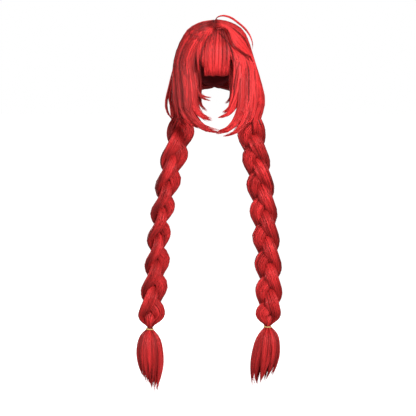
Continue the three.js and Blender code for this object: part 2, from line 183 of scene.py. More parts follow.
class Tress:
    """A mass of hair: strips and cores gathered as arrays, then made into one mesh."""

    def __init__(self):
        self.points, self.quads, self.uvs, self.shades = [], [], [], []
        self.count = 0
        self.strips = 0

    def keep(self, points, quads, uvs, shades):
        self.points.append(points.reshape(-1, 3))
        self.quads.append(quads.reshape(-1, 4) + self.count)
        self.uvs.append(uvs.reshape(-1, 2))
        self.shades.append(shades.reshape(-1))
        self.count += len(self.points[-1])

    def add_strips(self, line, side, out, half_width, half_thick, shade):
        """line, side and out are (strips, places, 3), the widths and the shade (strips, places)."""
        n, k = line.shape[:2]
        w, h = half_width[..., None], half_thick[..., None]
        ring = [line - side * w, line + out * h, line + side * w, line - out * h * UNDERSIDE]
        first = (np.arange(n * k).reshape(n, k) * SIDES)[:, :-1]
        a = first[..., None] + np.arange(SIDES)
        b = first[..., None] + (np.arange(SIDES) + 1) % SIDES
        walls = np.stack([a, a + SIDES, b + SIDES, b], axis=-1)
        start = np.arange(n)[:, None] * k * SIDES
        ends = np.concatenate([start + [0, 1, 2, 3], start + (k - 1) * SIDES + [3, 2, 1, 0]])
        step = np.linalg.norm(np.diff(line, axis=1), axis=2)
        run = np.concatenate([np.zeros((n, 1)), np.cumsum(step, axis=1)], axis=1) / UV_LENGTH
        run = run + shade[:, -1:] * UV_SHIFT
        low, high = run[:, :-1, None], run[:, 1:, None]
        left, right = np.arange(SIDES) / SIDES, np.arange(1, SIDES + 1) / SIDES
        corners = [(left, low), (left, high), (right, high), (right, low)]
        wall_uv = np.stack([np.stack(np.broadcast_arrays(*uv), -1) for uv in corners], axis=-2)
        quads = np.concatenate([walls.reshape(-1, 4), ends])
        uvs = np.concatenate([wall_uv.reshape(-1, 4, 2), np.zeros((len(ends), 4, 2))])
        self.keep(np.stack(ring, axis=2), quads, uvs, np.repeat(shade, SIDES))
        self.strips += n

    def add_core(self, rings, shade):
        """A closed body through rings (places, points, 3); each ring runs out along one face and back."""
        k, n = rings.shape[:2]
        i = np.arange(n)
        first = np.arange(k - 1)[:, None] * n
        walls = np.stack([first + i, first + n + i, first + n + (i + 1) % n, first + (i + 1) % n], axis=-1)
        j = np.arange(n // 2 - 1)
        cover = np.stack([j, j + 1, n - 2 - j, n - 1 - j], axis=-1)
        quads = np.concatenate([walls.reshape(-1, 4), cover, (k - 1) * n + cover[:, ::-1]])
        self.keep(rings, quads, np.full((len(quads), 4, 2), 0.5) * [1, 3], np.full(k * n, shade))

    def build(self, name, finish, *nodes):
        points = np.concatenate(self.points) * MM
        quads = np.concatenate(self.quads)
        mesh = bpy.data.meshes.new(name)
        mesh.vertices.add(len(points))
        mesh.vertices.foreach_set("co", points.ravel())
        mesh.loops.add(quads.size)
        mesh.loops.foreach_set("vertex_index", quads.ravel())
        mesh.polygons.add(len(quads))
        mesh.polygons.foreach_set("loop_start", np.arange(len(quads)) * 4)
        mesh.polygons.foreach_set("use_smooth", np.ones(len(quads), bool))
        mesh.update(calc_edges=True)
        mesh.uv_layers.new(name="along").data.foreach_set("uv", np.concatenate(self.uvs).ravel())
        # The tone holds random differences together with painted shade and painted light.
        tone = mesh.attributes.new("tone", "FLOAT", "POINT")
        tone.data.foreach_set("value", np.concatenate(self.shades))
        mesh.materials.append(finish)
        piece = bpy.data.objects.new(name, mesh)
        bpy.context.scene.collection.objects.link(piece)
        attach(piece, "root")
        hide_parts(*nodes)
        print(f"{name}: {self.strips} strips, {2 * len(quads)} triangles")


print("a strip of 12 steps has", 12 * SIDES + 2, "faces")

# %% [markdown]
# ## Comb a lock
# A lock is an oval tube round a line. Its strips start evenly round the oval and run along it, and small
# random shares keep them from looking machined. A tone from 0, dark, to 1, bright, goes with each strip:
# strips differ a little, clumps of them more. Painted shade darkens the edges and the roots of a lock and
# its core, and painted light brightens its tips.

# %% Comb a lock
STRIP_TONE, CLUMP_TONE, CLUMPS = 0.14, 0.12, 7
# Painted shade darkens the edges of a lock, painted light brightens its tips, and painted shade darkens the
# core under the strips.
EDGE_SHADE, TIP_LIGHT = 0.3, 0.3
CORE_WIDE, CORE_DEEP, CORE_SHADE = 0.84, 0.8, 0.3
STRIP_SIZES, STRIP_DEEP = (0.75, 1.25), 0.5
WAVES = (4, 9)


def at(values, t):
    """Rows of values (places, c), read at shares t of the way along."""
    values = np.asarray(values, float)
    place = np.clip(t, 0, 1) * (len(values) - 1)
    i = np.minimum(place.astype(int), len(values) - 2)
    w = place - i
    if values.ndim > 1:
        w = w[..., None]
    return values[i] * (1 - w) + values[i + 1] * w


def comb_lock(tress, draw, line, out, half_width, half_thick, count, steps=11, strip=1.45, start=(0, 0.1),
              end=(0.84, 1), depth=(0.84, 1.02), fray=4.0, drift=0.25, wave=0.5, core=True, sides=10,
              closing=0.9, tone=0.5, streak=STRIP_TONE, clumps=None, shade=None, root_shade=(0.2, 0.1),
              tip_light=TIP_LIGHT):
    """A lock of hair round a line: an oval core, and strips over it that close in towards the tip.

    The strips start and end at shares of the line and lie at depth shares of the oval. fray, drift and
    wave say how far they stray, closing how far the core narrows, and the rest how bright they are."""
    along = unit(np.gradient(line, axis=0))
    across = unit(np.cross(along, out))
    up = np.cross(across, along)
    if core:
        turn = np.linspace(0, 2 * math.pi, sides, endpoint=False) + math.pi / 2
        close = 1 - closing * ease(np.linspace(0, 1, len(line)), 0.75, 1)
        w = (half_width * CORE_WIDE * close)[:, None, None]
        h = (half_thick * CORE_DEEP * close)[:, None, None]
        rings = (line[:, None] + across[:, None] * w * np.cos(turn)[:, None]
                 + up[:, None] * h * np.sin(turn)[:, None])
        half_of_them = np.linspace(0, len(line) - 1, len(line) // 2).round().astype(int)
        # The core is darker by painted shade, for the depth between the strips.
        tress.add_core(rings[half_of_them], tone - CORE_SHADE)
    share = np.linspace(0, 1, steps + 1)
    t0, t1 = draw.uniform(*start, count), draw.uniform(*end, count)
    t = t0[:, None] + (t1 - t0)[:, None] * share
    turn = 2 * math.pi * (np.arange(count) + draw.uniform(0, 1, count)) / count
    edge = np.abs(np.cos(turn)) ** 4
    clumps = draw.normal(0, CLUMP_TONE, CLUMPS) if clumps is None else clumps
    ring = np.resize(clumps, len(clumps) + 2)
    clump = np.interp(turn / (2 * math.pi) * len(clumps), np.arange(len(ring)), ring)
    turn = turn[:, None] + draw.normal(0, drift, count)[:, None] * (t - 0.4)
    depth = draw.uniform(*depth, count)[:, None]
    a, u = at(across, t), at(up, t)
    w, h = at(half_width, t), at(half_thick, t)
    cos, sin = np.cos(turn), np.sin(turn)
    place = at(line, t) + a * (cos * w * depth)[..., None] + u * (sin * h * depth)[..., None]
    away = unit(a * (cos / w)[..., None] + u * (sin / h)[..., None])
    lean = draw.normal(0, fray, (count, 3))
    lean[:, 2] *= 0.5
    place = place + lean[:, None] * (ease(t, 0.72, 1.05) ** 2)[..., None]
    side = unit(np.cross(unit(np.gradient(place, axis=1)), away))
    wave = draw.normal(0, wave, count)[:, None] * np.sin(share * draw.uniform(*WAVES, count)[:, None])
    place = place + side * wave[..., None]
    size = draw.uniform(*STRIP_SIZES, count)[:, None] * strip
    taper = (0.25 + 0.75 * ease(share, 0, 0.1)) * (0.12 + 0.88 * (1 - ease(share, 0.7, 1.02)))
    tones = (draw.normal(tone, streak, count) + clump)[:, None]
    # Painted shade darkens the roots and edges and wherever shade is given; painted light brightens the tips.
    tones = tones - root_shade[0] * (1 - ease(t, 0, root_shade[1]))
    tones = tones - EDGE_SHADE * edge[:, None] * (1 - 0.7 * ease(t, 0.55, 0.95))
    tones = tones + tip_light * ease(t, 0.75, 1)
    tones = tones if shade is None else tones + at(shade, t)
    tress.add_strips(place, side, away, size * taper, STRIP_DEEP * size * taper, np.clip(tones, 0, 1))


print("a strip is", STRIP_SIZES, "of its usual width")

# %% [markdown]
# ## Hair finish
# The fibre is a glossy synthetic red. Each tuft has its own tone, and a fine streak runs along it. The
# tone is an attribute of the mesh and the streak follows its UV map, so both stay with the hair. The tone
# holds random differences and also painted shade and painted light. A few small functions come first,
# because every finish of the wig is made from nodes in the same way.

# %% Hair finish
HAIR_DARK = (0.10, 0.004, 0.004, 1)
HAIR_MID = (0.40, 0.013, 0.013, 1)
HAIR_BRIGHT = (0.70, 0.030, 0.032, 1)
HAIR_GLINT = (1.0, 0.47, 0.48, 1)
DARK_AT, MID_AT = 0.25, 0.72
STREAK_STRETCH, STREAK_SCALE, STREAK_DETAIL, STREAK_SHARE = (9, 2.2, 1), 3, 4, 0.55
GLOSSY, DULL = 0.38, 0.56
FIBRE_RELIEF, FIBRE_HEIGHT = 0.25, 0.0004


def new_finish(name):
    """A new material, with its nodes, its links and its shader."""
    finish = bpy.data.materials.new(name)
    finish.use_nodes = True
    tree = finish.node_tree
    return finish, tree.nodes, tree.links, tree.nodes["Principled BSDF"]


def add_node(nodes, kind, values):
    node = nodes.new("ShaderNode" + kind)
    for socket, value in values.items():
        node.inputs[socket].default_value = value
    return node


def join(links, *pairs):
    for node, output, target, socket in pairs:
        links.new(node.outputs[output], target.inputs[socket])


def add_ramp(nodes, dark, bright, dark_at=0):
    ramp = nodes.new("ShaderNodeValToRGB")
    ramp.color_ramp.elements[0].color = dark
    ramp.color_ramp.elements[0].position = dark_at
    ramp.color_ramp.elements[1].color = bright
    return ramp


def hair_finish():
    finish, nodes, links, shader = new_finish("red_fibre")
    uv = nodes.new("ShaderNodeUVMap")
    uv.uv_map = "along"
    stretch = add_node(nodes, "Mapping", {"Scale": STREAK_STRETCH})
    streak = add_node(nodes, "TexNoise", {"Scale": STREAK_SCALE, "Detail": STREAK_DETAIL})
    tone = nodes.new("ShaderNodeAttribute")
    tone.attribute_name = "tone"
    mix = add_node(nodes, "Math", {1: STREAK_SHARE})
    mix.operation = "MULTIPLY_ADD"
    # The ramp turns the tone, painted shade and light included, into colour.
    ramp = add_ramp(nodes, HAIR_DARK, HAIR_BRIGHT, DARK_AT)
    ramp.color_ramp.elements.new(MID_AT).color = HAIR_MID
    gloss = add_node(nodes, "MapRange", {"To Min": GLOSSY, "To Max": DULL})
    bump = add_node(nodes, "Bump", {"Strength": FIBRE_RELIEF, "Distance": FIBRE_HEIGHT})
    join(links,
         (uv, "UV", stretch, "Vector"), (stretch, "Vector", streak, "Vector"), (streak, "Fac", mix, 0),
         (tone, "Fac", mix, 2), (mix, "Value", ramp, "Fac"), (ramp, "Color", shader, "Base Color"),
         (streak, "Fac", gloss, "Value"), (gloss, "Result", shader, "Roughness"),
         (streak, "Fac", bump, "Height"), (bump, "Normal", shader, "Normal"))
    shader.inputs["Specular IOR Level"].default_value = 0.5
    shader.inputs["Specular Tint"].default_value = HAIR_GLINT
    return finish


red_fibre = hair_finish()
print("finish", red_fibre.name)

# %% [markdown]
# ## Crown guides
# The crown is combed from a centre part down to a bundle beside each cheek. Seven guides on each side
# run from the part, over the temple, sag below the ear and close round the bundle. The sheet between
# them is read at any place, so that a strip can start anywhere along the part.

# %% Crown guides
#        part over rise temple fall slack_x slack_y turn
CROWN = [
    (-37, 31, 61, 71, 82, 106, -40, -95),
    (-20, 62, 50, 80, 91, 120, -14, -45),
    (0, 92, 46, 92, 92, 124, 8, 0),
    (28, 129, 56, 108, 94, 118, 30, 35),
    (58, 151, 76, 126, 97, 106, 44, 72),
    (92, 163, 99, 146, 105, 92, 50, 108),
    (123, 171, 125, 160, 127, 78, 48, 145),
]
LEFT_FRONT = (-33, 42, 54, 68, 78)
#              x y z, along the swept edge from the part to the temple
SWEPT_EDGE = [(0.8, -70, -15), (25, -69, -13), (34, -74, -21), (39.5, -89, -40), (47, -95, -57.5),
              (61, -88.5, -70), (76, -73, -79), (87, -56, -83)]
LEFT_SLACK = 0.9
SLACK_Z, BUNDLE_Z, TUCK_Z = -190, -240, -276
BUNDLE_X = {-1: 89, 1: 96}
TUCK_X = {-1: 88, 1: 97}
TUCK_Y = {-1: -4, 1: 22}
BUNDLE_Y, BUNDLE_RADIUS, TUCK_SHARE = 14, (18, 21), 0.6
PART_DIP, PART_GAP, SHOULDER_DIP = 3, 0.8, 2.0
SHEET_U, SHEET_T = 61, 73


def crown_guide(row, side):
    part, over, rise, temple, fall, slack_x, slack_y, turn = row
    start = heading(0, -part) if part < 0 else heading(180, part)
    root = on_hair(start)
    root = root - out_of_hair(root) * PART_DIP + [PART_GAP, 0, 0]
    above = heading(over, rise)
    shoulder = on_hair(unit(start + above))
    ring_x = math.cos(math.radians(turn)) * BUNDLE_RADIUS[0]
    ring_y = math.sin(math.radians(turn)) * BUNDLE_RADIUS[1]
    points = np.array([
        root, shoulder - out_of_hair(shoulder) * SHOULDER_DIP, on_hair(above), on_hair(heading(temple, fall)),
        (slack_x, slack_y, SLACK_Z),
        (BUNDLE_X[side] + ring_x, BUNDLE_Y + ring_y, BUNDLE_Z),
        (TUCK_X[side] + ring_x * TUCK_SHARE, TUCK_Y[side] + ring_y * TUCK_SHARE, TUCK_Z),
    ])
    return points * [side, 1, 1]


def crown_sheet(side):
    """Places and outward directions on a sheet of SHEET_U by SHEET_T places."""
    rows = [(*LEFT_FRONT, *row[5:]) if side < 0 and i == 0 else row for i, row in enumerate(CROWN)]
    s = np.linspace(0, 6, SHEET_T)
    guides = np.stack([crown_guide(row, side) for row in rows])
    if side < 0:
        guides[:4, 4, 0] *= LEFT_SLACK
    swept = np.concatenate([SWEPT_EDGE, guides[0, 4:]])
    guides = np.stack([through(guide, s) for guide in guides])
    if side > 0:
        guides[0] = through(swept, np.interp(s, [0, 3, 6], [0, len(SWEPT_EDGE) - 1, len(swept) - 1]))
    u = np.linspace(0, len(rows) - 1, SHEET_U)
    sheet = np.stack([through(guides[:, j], u) for j in range(SHEET_T)], axis=1)
    out = unit(np.cross(np.gradient(sheet, axis=1), np.gradient(sheet, axis=0))) * side
    return sheet, out


def on_sheet(values, u, t):
    """Values of a sheet, read at shares u of the way round and t of the way down."""
    i, j = np.clip(u, 0, 1) * (SHEET_U - 1), np.clip(t, 0, 1) * (SHEET_T - 1)
    a, b = np.minimum(i.astype(int), SHEET_U - 2), np.minimum(j.astype(int), SHEET_T - 2)
    p, q = (i - a)[..., None], (j - b)[..., None]
    return ((values[a, b] * (1 - p) + values[a + 1, b] * p) * (1 - q)
            + (values[a, b + 1] * (1 - p) + values[a + 1, b + 1] * p) * q)


print(len(CROWN), "guides a side, sheets of", SHEET_U, "by", SHEET_T, "places")

# %% [markdown]
# ## Crown hair
# One core fills each sheet, and strips lie over it, under it and, shorter, on top. The sheet swells into
# eight soft locks with grooves between them, and each strip gathers a little towards the middle of its lock.
# Placed by hand they would take far too long, and scattered at random they would show no locks. Painted
# shade darkens the grooves, the roots at the part, the core and the layer under the sheet.

# %% Crown hair
RIDGE, CROWN_LOCKS, CALM, GATHER = 2.0, 8, 0.7, 0.3
LEFT_DROP, RIGHT_LIP = 4.5, 2.5
CROWN_THICK = [12, 14, 14, 15, 12, 10, 8]
# Painted shade: the crown core, the grooves between the locks and the roots at the part are darker.
CROWN_CLUMPS, CROWN_CORE_SHADE, GROOVE_SHADE, PART_SHADE = 34, 0.2, 0.35, 0.35
CORE_UNDER, CORE_INSIDE, CORE_GAP, STRIP_GAP, UNDER_GAP, OWN_SIDE = 1.6, 1.5, 3.0, 3.4, 2.2, 0.4
CROWN_STRAY, CROWN_WAVES = 0.004, (5, 12)
OVER_LEVEL, UNDER_LEVEL = (-1.1, 0.3), (0, 1.5)
# The layer under the sheet has a lower tone, as painted shade.
#        strips under tone start end steps width
CROWN_LAYERS = [
    (640, False, 0.5, (0, 0.02), (0.93, 1), 16, 1.7),
    (140, False, 0.62, (0.02, 0.3), (0.55, 0.95), 11, 1.3),
    (110, True, 0.35, (0.3, 0.45), (0.95, 1), 10, 2.2),
]


def own_side(p, side):
    """Points kept clear of the other side of the part."""
    return np.concatenate([side * np.maximum(p[..., :1] * side, OWN_SIDE), p[..., 1:]], axis=-1)


def swell(u):
    """How far the locks bulge at a share u of the way round: 1 in the middle of a lock, 0 in a groove."""
    return np.abs(np.sin(math.pi * u * CROWN_LOCKS))


def calm(t):
    """The share of the ridges that is left at a share t of the way down."""
    return 1 - CALM * ease(t, 0.5, 0.8)


def crown_lift(u, t, front_drop):
    return RIDGE * calm(t) * (swell(u) - 1) - front_drop * (1 - ease(u, 0.1, 0.4))


def crown_thick(t):
    return np.interp(t, np.linspace(0, 1, len(CROWN_THICK)), CROWN_THICK)


def comb_crown(tress, draw, side, front_drop, clumps, layer):
    count, under, tone, start, end, steps, width = layer
    sheet, out = crown_sheet(side)
    share = np.linspace(0, 1, steps + 1)
    u0 = (np.arange(count) + draw.uniform(0, 1, count)) / count
    t0, t1 = draw.uniform(*start, count), draw.uniform(*end, count)
    t = t0[:, None] + (t1 - t0)[:, None] * share
    lock = (np.floor(u0 * CROWN_LOCKS) + 0.5) / CROWN_LOCKS
    gather = GATHER * ease(t, 0.25, 0.9)
    u = u0[:, None] * (1 - gather) + lock[:, None] * gather
    stray = draw.normal(0, CROWN_STRAY, count)[:, None]
    u = np.clip(u + stray * np.sin(t * draw.uniform(*CROWN_WAVES, count)[:, None]), 0, 1)
    if under:
        level = -crown_thick(t) + draw.uniform(*UNDER_LEVEL, count)[:, None]
    else:
        level = crown_lift(u, t, front_drop) + draw.uniform(*OVER_LEVEL, count)[:, None]
    n = on_sheet(out, u, t)
    place = clear_of_cap(on_sheet(sheet, u, t) + n * level[..., None], UNDER_GAP if under else STRIP_GAP)
    place = own_side(place, side)
    n = -n if under else n
    across = unit(np.cross(unit(np.gradient(place, axis=1)), n))
    size = draw.uniform(*STRIP_SIZES, count)[:, None] * width
    taper = (0.3 + 0.7 * ease(share, 0, 0.08)) * (0.15 + 0.85 * (1 - ease(share, 0.8, 1.02)))
    clump = np.interp(u0 * (CROWN_CLUMPS - 1), np.arange(CROWN_CLUMPS), clumps)
    tones = (draw.normal(tone, STRIP_TONE, count) + clump)[:, None]
    # Painted shade in the grooves and at the roots along the part.
    tones = tones - GROOVE_SHADE * calm(t) * (1 - swell(u)) ** 3
    tones = tones - PART_SHADE * (1 - ease(t, 0.005, 0.06))
    tress.add_strips(place, across, n, size * taper, STRIP_DEEP * size * taper, np.clip(tones, 0, 1))


def crown(side, seed, front_drop):
    draw = np.random.default_rng(seed)
    tress = Tress()
    sheet, out = crown_sheet(side)
    t = np.linspace(0, 1, SHEET_T)
    lift = crown_lift(np.linspace(0, 1, SHEET_U)[:, None], t, front_drop)
    outer = clear_of_cap(sheet + out * (lift - CORE_UNDER)[..., None], CORE_GAP)
    inner = clear_of_cap(sheet - out * (crown_thick(t) - CORE_INSIDE)[None, :, None], UNDER_GAP)
    rings = np.concatenate([own_side(outer, side), own_side(inner, side)[::-1]], axis=0).transpose(1, 0, 2)
    tress.add_core(rings if side < 0 else rings[:, ::-1], CROWN_CORE_SHADE)
    clumps = draw.normal(0, CLUMP_TONE, CROWN_CLUMPS)
    for layer in CROWN_LAYERS:
        comb_crown(tress, draw, side, front_drop, clumps, layer)
    return tress


crown_left = crown(-1, 11, LEFT_DROP)
crown_right = crown(1, 12, -RIGHT_LIP)
print("crown strips:", crown_left.strips, "left and", crown_right.strips, "right")

# %% [markdown]
# ## Part and crease
# The cap would show through the part, so a seam closes it from below, as the sewn roots do. Its dark tone
# is painted shade in the part. On the right, the crease that bounds the swept lock above gets a painted
# shadow: a strand painted dark is enough for that, and the strips of the crown stay where they are.

# %% Part and crease
# The seam's tone is painted shade: the part is dark because light hardly reaches into it.
PART_SEAM, SEAM_PLACES, SEAM_SIDES, SEAM_SHADE_TONE = (-36, 122), 40, 8, 0.1
SEAM_DEEP, SEAM_WIDE, SEAM_TALL = 5.8, 2.6, 2.2
#          x z, along the crease that bounds the swept lock above
CREASE = [(36, -9), (46, -15), (64, -30), (78, -52), (85, -74)]
CREASE_PLACES, CREASE_LIFT, CREASE_SIZE = 40, 1.2, (1.3, 1.6)
# How a strand looks that is a painted shadow in a gap: dark, and with no painted light at its tip.
SHADOW_STRAND_LOOK = {"tone": 0.02, "fray": 0.3, "tip_light": 0}


def part_seam(tress):
    """The seam under the part, where both sheets are sewn down, painted dark as shade in the part."""
    turns = np.radians(np.linspace(*PART_SEAM, SEAM_PLACES))
    line = on_hair(np.stack([0 * turns, np.sin(turns), np.cos(turns)], axis=1))
    out = out_of_hair(line)
    line = line - out * SEAM_DEEP
    a = np.linspace(0, 2 * math.pi, SEAM_SIDES, endpoint=False)
    across = np.array([1.0, 0, 0])
    tress.add_core(line[:, None] + across * SEAM_WIDE * np.cos(a)[:, None]
                   + out[:, None] * SEAM_TALL * np.sin(a)[:, None], SEAM_SHADE_TONE)


def painted_crease_shadow(tress, seed):
    """A painted shadow on the right crown: a dark strand between the swept lock and the hair above it."""
    draw = np.random.default_rng(seed)
    sheet, out = crown_sheet(1)
    points = []
    for x, z in CREASE:
        away = np.where(sheet[..., 1] < 0, np.hypot(sheet[..., 0] - x, sheet[..., 2] - z), np.inf)
        nearest = np.unravel_index(np.argmin(away), away.shape)
        points.append(sheet[nearest] + out[nearest] * CREASE_LIFT)
    line = even_line(points, CREASE_PLACES)
    t = np.linspace(0, 1, CREASE_PLACES)
    body = 0.15 + 0.85 * ease(t, 0, 0.4) * (1 - 0.5 * ease(t, 0.7, 1))
    wide, deep = CREASE_SIZE
    comb_lock(tress, draw, line, out_of_hair(line), wide * body, deep * body, 14, strip=0.6, **SHADOW_STRAND_LOOK)


part_seam(crown_left)
crown_left.build("crown_hair_left", red_fibre, "crown_left")
painted_crease_shadow(crown_right, 13)
crown_right.build("crown_hair_right", red_fibre, "crown_right")

# %% [markdown]
# ## Side lock lines
# Curtains of locks hang on both sides of the opening. On the left they leave the part and lie over the crown.
# On the right they come out from under the swept crown hair. They hang straight past the cheek and curl in
# at the jaw. Five rows on each side give the lines, and more locks are read between the rows.

# %% Side lock lines
#        root_x root_y temple_x temple_y cheek_x cheek_y jaw_x jaw_z tip_x tip_y tip_z width thick
LOCKS_LEFT = np.array([
    (-3, -68, -52, -97, -48, -93, -44, -166, -8, -94, -185, 17, 8),
    (-3, -62, -62, -91, -57, -94, -51, -202, -6, -101, -238, 28, 10),
    (-4, -54, -74, -79, -66, -88, -62, -215, 13, -100, -268, 28, 12),
    (-5, -44, -86, -59, -82, -72, -79, -216, -28, -92, -262, 28, 12),
    (-6, -34, -95, -37, -97, -52, -96, -202, -74, -66, -248, 28, 11),
], float)
LOCKS_RIGHT = np.array([
    (16, -76, 52, -97, 49, -93, 45, -180, 19, -96, -220, 21, 8),
    (20, -72, 61, -92, 59, -95, 52, -198, 8, -101, -234, 26, 10),
    (28, -66, 70, -82, 70, -89, 64, -213, 3, -104, -271, 29, 12),
    (36, -58, 83, -63, 86, -74, 82, -216, 22, -97, -277, 28, 12),
    (42, -50, 93, -41, 99, -54, 98, -204, 72, -72, -254, 28, 11),
], float)
INNER_LEFT = np.array([-3, -66, -45, -90, -42, -84, -40, -188, -19, -84, -216, 28, 7], float)
INNER_RIGHT = np.array([18, -72, 46, -90, 45, -84, 44, -174, 26, -85, -198, 26, 7], float)
WIDTH, THICK = 11, 12
TEMPLE_Z, CHEEK_Z, SWEEP, SWEEP_DROP = -92, -150, 0.5, 0.82
LOCK_PLACES = 60
ALONG = np.linspace(0, 1, LOCK_PLACES)


def side_line(row):
    root_x, root_y, temple_x, temple_y, cheek_x, cheek_y, jaw_x, jaw_z, tip_x, tip_y, tip_z = row[:WIDTH]
    level = 1 - (root_x / HAIR[0]) ** 2 - (root_y / HAIR[1]) ** 2
    root = np.array([root_x, root_y, DOME[2] + HAIR[2] * math.sqrt(level)])
    temple = np.array([temple_x, temple_y, TEMPLE_Z])
    middle = on_hair(unit((root - DOME) / HAIR + (temple - DOME) / HAIR))
    sweep_x = jaw_x + (tip_x - jaw_x) * SWEEP
    sweep_z = jaw_z + (tip_z - jaw_z) * SWEEP_DROP
    points = [root, middle, temple, (cheek_x, cheek_y, CHEEK_Z), (jaw_x, (cheek_y + tip_y) / 2, jaw_z),
              (sweep_x, tip_y, sweep_z), (tip_x, tip_y, tip_z)]
    return even_line(points, LOCK_PLACES)


length = np.linalg.norm(np.diff(side_line(LOCKS_LEFT[2]), axis=0), axis=1).sum()
print("the middle lock on the left is", round(length), "mm long")

# %% [markdown]
# ## Side locks
# Each curtain is two layers of locks, the deeper one shorter and darker by painted shade, and a lock inside
# them by the cheek, darker still by painted shade. Tips gather in a few points, as the hair does where it is
# cut. A few strands painted dark lie on the surface between the locks, as painted shadow where a deep gap
# would be. Painted shade darkens the roots, and painted light makes the right curtain lighter, the left
# darker.

# %% Side locks
LOCK_STRAY = np.array([0, 0, 1, 1, 1.5, 1.5, 1.5, 2, 1.5, 1, 2.5, 0, 0])
TIP_COLUMNS = slice(6, 11)
LOCK_FILL, LOCK_GAP, LOCK_TONE, ROOT_SINK, TIP_GATHER = 0.42, 6.0, 0.08, 5, 0.8
# The deeper layer has a lower tone, as painted shade.
#        locks deeper tone reach strips
LOCK_LAYERS = [
    (14, 0.0, 0.52, 1.0, 52),
    (8, 5.0, 0.42, 0.92, 28),
]
# The inner lock by the cheek has a low tone, as painted shade.
INNER_DEEPER, INNER_SHADE_TONE, INNER_STRIPS = 4, 0.3, 40
# Strands painted dark lie between the locks, as painted shadow in the gaps.
GAP_ROWS, GAP_LIFT, GAP_WIDE, GAP_SHADOW_TONE = (0.5, 1.4, 2.5, 3.5), 0.9, 1.0, 0.04
GAP_FROM, GAP_TO = (0.28, 0.4), (0.72, 0.85)


def between(rows, k):
    """The row at place k of a table, read between its rows."""
    i = min(int(k), len(rows) - 2)
    return rows[i] + (rows[i + 1] - rows[i]) * (k - i)


def side_lock(tress, draw, row, drop, tone, reach, strips, root_shade):
    """One lock, drop below its line, with strips that end at or before a share reach of it."""
    line = side_line(row)
    out = out_of_hair(line)
    line = clear_of_cap(line - out * (drop + ROOT_SINK * (1 - ease(ALONG, 0, 0.1)))[:, None], LOCK_GAP)
    narrow = ease(ALONG, 0.58, 1.0) ** 1.5
    half_width = row[WIDTH] * LOCK_FILL * (0.55 + 0.45 * ease(ALONG, 0, 0.35)) * (1 - 0.86 * narrow)
    half_thick = row[THICK] * LOCK_FILL * (1 - 0.8 * narrow) * (0.3 + 0.7 * ease(ALONG, 0.05, 0.35))
    comb_lock(tress, draw, line, out, half_width, half_thick, strips, steps=12, start=(0, 0.02),
              end=(0.9 * reach, reach), fray=0.8, drift=0.06, wave=0.15, tone=tone, root_shade=root_shade)


def gap_shadow_strand(tress, draw, row, sunk):
    """A painted shadow: a dark strand on the surface, between two locks."""
    line = side_line(row)
    out = out_of_hair(line)
    line = clear_of_cap(line - out * sunk[:, None], LOCK_GAP) + out * (row[THICK] * LOCK_FILL + GAP_LIFT)
    first, last = (int(draw.uniform(*ends) * LOCK_PLACES) for ends in (GAP_FROM, GAP_TO))
    half = GAP_WIDE * np.sin(np.linspace(0.2, math.pi - 0.1, last - first))
    comb_lock(tress, draw, line[first:last], out[first:last], half, half, 10, strip=0.5,
              clumps=np.zeros(2), **{**SHADOW_STRAND_LOOK, "tone": GAP_SHADOW_TONE})


def side_locks(rows, inner, seed, sink, root_shade, painted_side_light):
    """All locks of a side. sink is how deep their roots lie, and the last argument, painted light or shade
    for the side, is added to their tone.
    """
    draw = np.random.default_rng(seed)
    tress = Tress()
    sunk = sink * (1 - ease(ALONG, 0.15, 0.45))
    for count, deeper, tone, reach, strips in LOCK_LAYERS:
        for k in np.linspace(0, len(rows) - 1, count):
            row = between(rows, k)
            nearest = rows[int(round(k))]
            row[TIP_COLUMNS] += (nearest[TIP_COLUMNS] - row[TIP_COLUMNS]) * TIP_GATHER
            row = row + draw.normal(0, 1, len(row)) * LOCK_STRAY
            lock_tone = tone + painted_side_light + draw.normal(0, LOCK_TONE)
            side_lock(tress, draw, row, deeper + sunk, lock_tone, reach, strips, root_shade)
    side_lock(tress, draw, inner, sunk + INNER_DEEPER, INNER_SHADE_TONE, 1.0, INNER_STRIPS, root_shade)
    for k in GAP_ROWS:
        gap_shadow_strand(tress, draw, between(rows, k), sunk)
    return tress


# Painted shade darkens the roots, longer on the right under the swept hair; painted light lifts the right
# side and darkens the left.
side_left = side_locks(LOCKS_LEFT, INNER_LEFT, 21, sink=-1.0, root_shade=(0.45, 0.26), painted_side_light=-0.05)
side_right = side_locks(LOCKS_RIGHT, INNER_RIGHT, 22, sink=12.0, root_shade=(0.45, 0.36), painted_side_light=0.07)
print("side strips:", side_left.strips, "left and", side_right.strips, "right")

# %% [markdown]
# ## Loose strands
# Two thin strands stand off the curtain on the left. A thin lock needs only points to pass through and a
# size, so the strands beside the fringe and the lock on top are made by the same function later.

# %% Loose strands
LOOSE_STRANDS = [
    [(-92, -26, -85), (-102, -20, -120), (-112, -15, -160), (-119, -12, -190), (-119, -11, -210),
     (-112, -11, -228), (-101, -13, -240), (-94, -15, -246)],
    [(-91, -27, -90), (-99, -21, -125), (-107, -16, -160), (-111, -13, -184), (-109, -12, -202),
     (-104, -12, -222)],
]
LOOSE_SIZE = (5.0, 3.2)


def slender(root, narrowing, narrow_from):
    """Shares of full size along a thin lock: root at its start, and less by narrowing at its tip."""
    return (root + (1 - root) * ease(ALONG, 0, 0.3)) * (1 - narrowing * ease(ALONG, narrow_from, 1))


def thin_lock(tress, draw, points, body, half_size, count, **look):
    """A thin lock through points, with half_size its half width and half depth where body is 1."""
    line = even_line(points, LOCK_PLACES)
    wide, deep = half_size
    comb_lock(tress, draw, line, out_of_hair(line), wide * body, deep * body, count, **look)


def loose_strands(tress, seed):
    draw = np.random.default_rng(seed)
    body = slender(0.6, 0.75, 0.7)
    for points in LOOSE_STRANDS:
        thin_lock(tress, draw, points, body, LOOSE_SIZE, 44, strip=0.9, fray=1.0, tone=0.55)


